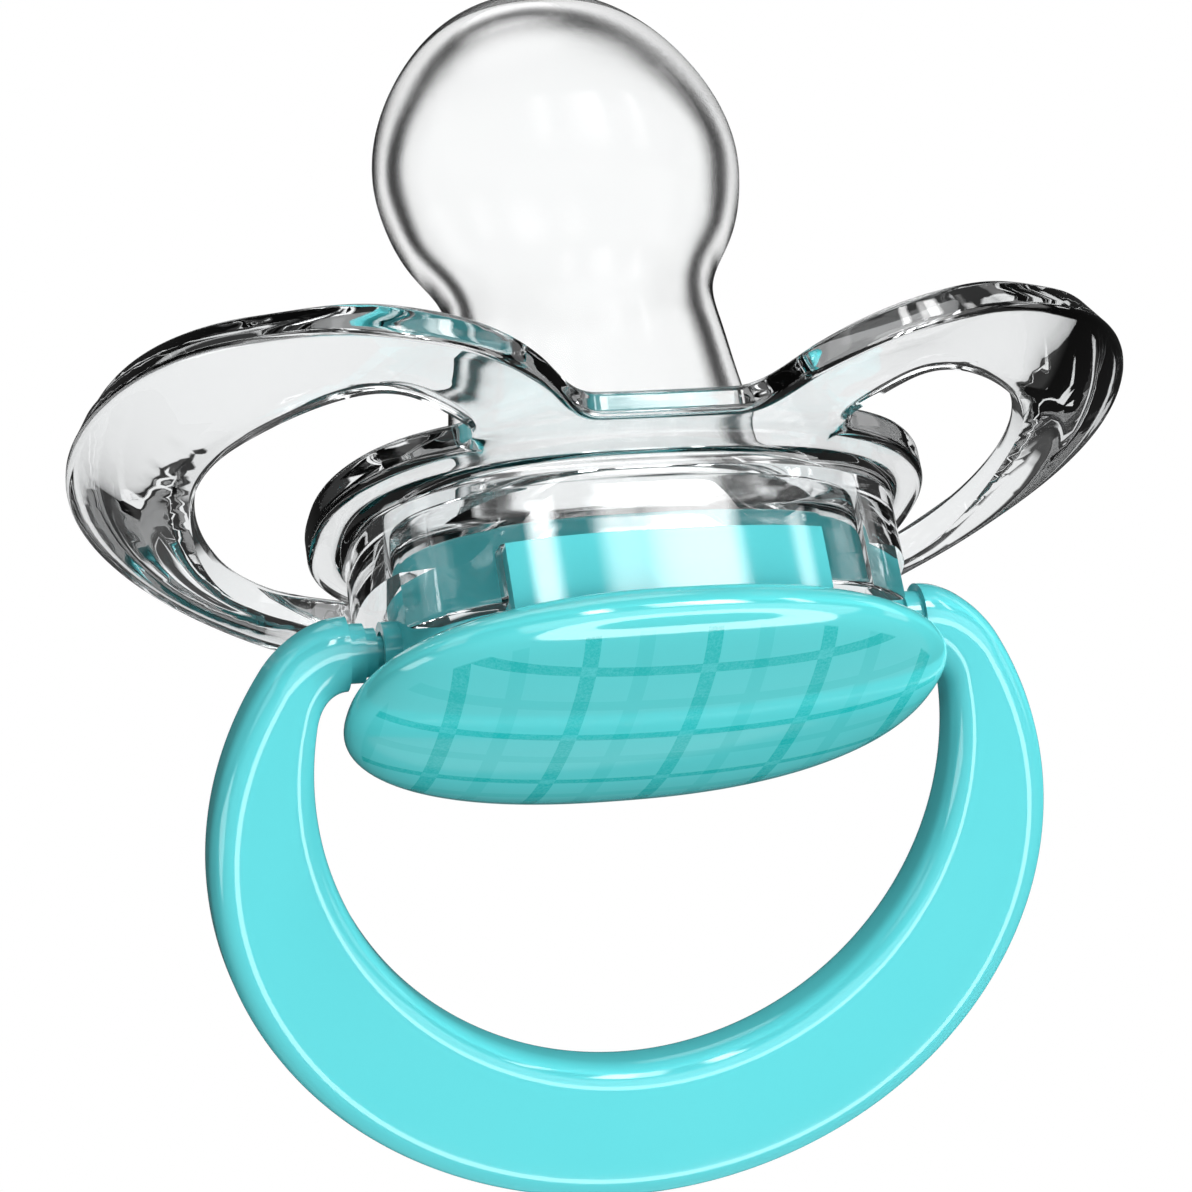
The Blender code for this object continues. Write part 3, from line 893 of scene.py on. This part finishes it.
def ring(finish):
    """Crescent handle whose arms turn over into round bosses, with a stepped pin on each."""
    starts = [math.asin((v - centre) / half) for (_, half, centre), v in
              ((RING_OUTER, OUTER_TURN_V), (RING_INNER, INNER_TURN_V))]
    stations = 200
    sections = []
    for k in range(stations + 1):
        points = []
        for (half_x, half_v, centre), start in zip((RING_OUTER, RING_INNER), starts):
            angle = start + (math.pi - 2 * start) * k / stations
            points.append((half_x * math.cos(angle), centre + half_v * math.sin(angle)))
        sections.append(ring_section(points[1], points[0], RING_HALF_T))
    over = elbow(RING_OUTER, OUTER_TURN_V, -BOSS_R, 1.5 * MM)
    under = elbow(RING_INNER, INNER_TURN_V, BOSS_R, 0.9 * MM)
    ends = []
    for side in (1, -1):
        end = []
        for k, (top, low) in enumerate(zip(over, under)):
            share = (k + 1) / len(over)
            half_t = RING_HALF_T + (BOSS_R - RING_HALF_T) * share
            round_r = RING_EDGE_R + (BOSS_R * 0.98 - RING_EDGE_R) * share
            end.append(ring_section(low * (side, 1), top * (side, 1), half_t, round_r))
        ends.append(end)
    loops = list(reversed(ends[0])) + sections + ends[1]
    turn = np.array(Matrix.Rotation(RING_SWING, 3, "X"))
    body = closed_loft("ring_handle", [loop @ turn.T + np.array(HINGE) for loop in loops], [finish])
    return combine(body, [stepped_bar("pin", PIN_STEPS, side) for side in (-1, 1)], "UNION")


# ---------------------------------------------------------------- studio

def aim(obj, location, target, roll=0.0):
    """Turn an object's -Z at the target, with its X level before the roll."""
    back = (Vector(location) - Vector(target)).normalized()
    right = Vector((0, 0, 1)).cross(back).normalized()
    up = back.cross(right)
    x = math.cos(roll) * right + math.sin(roll) * up
    y = -math.sin(roll) * right + math.cos(roll) * up
    turn = Matrix((x, y, back)).transposed().to_4x4()
    obj.matrix_world = Matrix.Translation(location) @ turn


FLOOR_Z = -0.095
FLOOR_R = 0.3

# Brightness of the dark walls, of the room from 18 degrees down, and of light after a matt bounce.
WALL = 0.04
LOW = 0.3
INSIDE = 0.95
EDGE_DEG = 3.0

# Camera: azimuth, elevation and roll in degrees, the point it turns round, its distance and its lens.
VIEW = (-15.4, -23.41, -9.54)
VIEW_CENTRE = (-1.62 * MM, 0, -4.79 * MM)
VIEW_DISTANCE = 165.83 * MM
LENS = 105.7


def camera():
    azimuth, elevation, roll = (math.radians(a) for a in VIEW)
    back = Vector((math.sin(azimuth) * math.cos(elevation), -math.cos(azimuth) * math.cos(elevation),
                   math.sin(elevation)))
    target = Vector(VIEW_CENTRE)
    data = bpy.data.cameras.new("camera")
    data.lens = LENS
    data.sensor_width = 36
    data.clip_start = 0.005
    made = bpy.data.objects.new("camera", data)
    bpy.context.scene.collection.objects.link(made)
    aim(made, target + back * VIEW_DISTANCE, target, roll)
    bpy.context.scene.camera = made


def front_fill():
    """A soft box in front that lights matt colour without showing as a reflection."""
    data = bpy.data.lights.new("front_fill", "AREA")
    data.shape = "RECTANGLE"
    data.size, data.size_y = 0.3, 0.2
    data.energy = 0.05
    made = bpy.data.objects.new("front_fill", data)
    bpy.context.scene.collection.objects.link(made)
    aim(made, (-0.04, -0.19, -0.31), (0, 0, 0))
    made.visible_camera = False
    made.visible_glossy = False
    made.visible_transmission = False


def floor():
    """Pale floor that casts no shadow and isn't seen in reflections."""
    shell = Shell()
    angles = np.linspace(0, math.tau, 96, endpoint=False)
    rim = np.column_stack([FLOOR_R * np.cos(angles), FLOOR_R * np.sin(angles), np.full(96, FLOOR_Z)])
    shell.fan(rim, (0, 0, FLOOR_Z))
    pale = Finish("pale_floor", base_color=(0.9, 0.9, 0.9, 1), roughness=0.8)
    made = shell.make("floor", [pale.material])
    made.visible_glossy = False
    made.visible_shadow = False


WINDOWS = (
    # azimuth and elevation of the middle, half sizes (all in degrees), brightness; azimuth 0 is +Y, 90 is +X
    (183.5, 24, 3.5, 12, 16.0),
    (167, 24, 3, 12, 9.0),
    (160, 24, 4.5, 12, 17.0),
    (140, 24, 2.5, 12, 9.0),
    (165, -16, 44, 21, 2.2),
    (-95, -16, 10, 12, 4.0),
    (0, 84, 180, 10, 1.6),
    (-120, 25, 8, 30, 1.5),
    (100, 20, 8, 30, 1.5),
)
BACK_WINDOW = (14, 24, 31, 30, 1.0)
HALO = (Vector((0.244, -0.587, -0.773)), 15, 30, 7.0)


def world():
    """White to the eye; reflections see dark walls with bright windows; matt light is set apart."""
    made = bpy.data.worlds.new("studio")
    bpy.context.scene.world = made
    made.use_nodes = True
    room = Tree(made.node_tree)
    sky = room.tree.nodes["Background"]
    way = room.node("ShaderNodeTexCoord").outputs["Generated"]
    split = room.node("ShaderNodeSeparateXYZ", i0=way)
    x, y, z = (room.value(split, k) for k in range(3))
    azimuth = x.bearing(y) * (180 / math.pi)
    elevation = z.arcsine() * (180 / math.pi)
    path = room.node("ShaderNodeLightPath")
    mirrored = room.value(path, "Is Glossy Ray") * (1 - room.value(path, "Is Transmission Ray"))

    def window(middle, height, half_azimuth, half_height, power):
        turned = ((azimuth - (middle - 180)) / 360).wrapped() * 360 - 180
        across = ((half_azimuth - turned.absolute()) / EDGE_DEG + 0.5).at_least(0).at_most(1)
        upright = ((half_height - (elevation - height).absolute()) / EDGE_DEG + 0.5).at_least(0).at_most(1)
        return across * upright * power

    light = window(*BACK_WINDOW) * (1 - mirrored)
    light = light.at_least(WALL)
    for place in WINDOWS:
        light = light.at_least(window(*place))
    low = ((-elevation - 18) / EDGE_DEG).at_least(0).at_most(1)
    light = light.at_least(low * LOW)
    toward, start, end, power = HALO
    dot = room.node("ShaderNodeVectorMath", {"operation": "DOT_PRODUCT"}, i0=way, i1=toward)
    lean = room.value(dot, "Value")
    halo = (lean < math.cos(math.radians(start))) * (lean > math.cos(math.radians(end)))
    light = light.at_least(halo * power)
    camera_ray = room.value(path, "Is Camera Ray")
    matt_ray = room.value(path, "Is Diffuse Ray")
    after_matt = (room.value(path, "Diffuse Depth") > 0.5) * (1 - matt_ray)
    light = light * (1 - matt_ray)
    light = light * (1 - after_matt) + after_matt * INSIDE
    light = light * (1 - camera_ray) + camera_ray
    room.tree.links.new(light.socket, sky.inputs["Strength"])
    sky.inputs["Color"].default_value = (1, 1, 1, 1)


def studio():
    world()
    floor()
    camera()
    front_fill()
    bpy.context.scene.view_settings.view_transform = "Standard"


def main():
    clear, turquoise = clear_plastic(), turquoise_plastic()
    pieces = (
        (shield(clear), "shield", "body", "clear_plastic"),
        (nipple(silicone("silicone"), silicone("silicone_inside", frosted=True)), "nipple", "body",
         "silicone"),
        (plug(turquoise), "plug", "body", "turquoise_plastic"),
        (button_dome(tinted_plastic()), "cap", "body", "tinted_plastic"),
        (button_inlay(patterned_sheet()), "inlay", "body", "patterned_sheet"),
        (ring(turquoise), "ring", "ring", "turquoise_plastic"),
    )
    for piece, node, body, slot in pieces:
        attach(piece, body)
        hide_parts(node)
    studio()
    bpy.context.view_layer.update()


main()
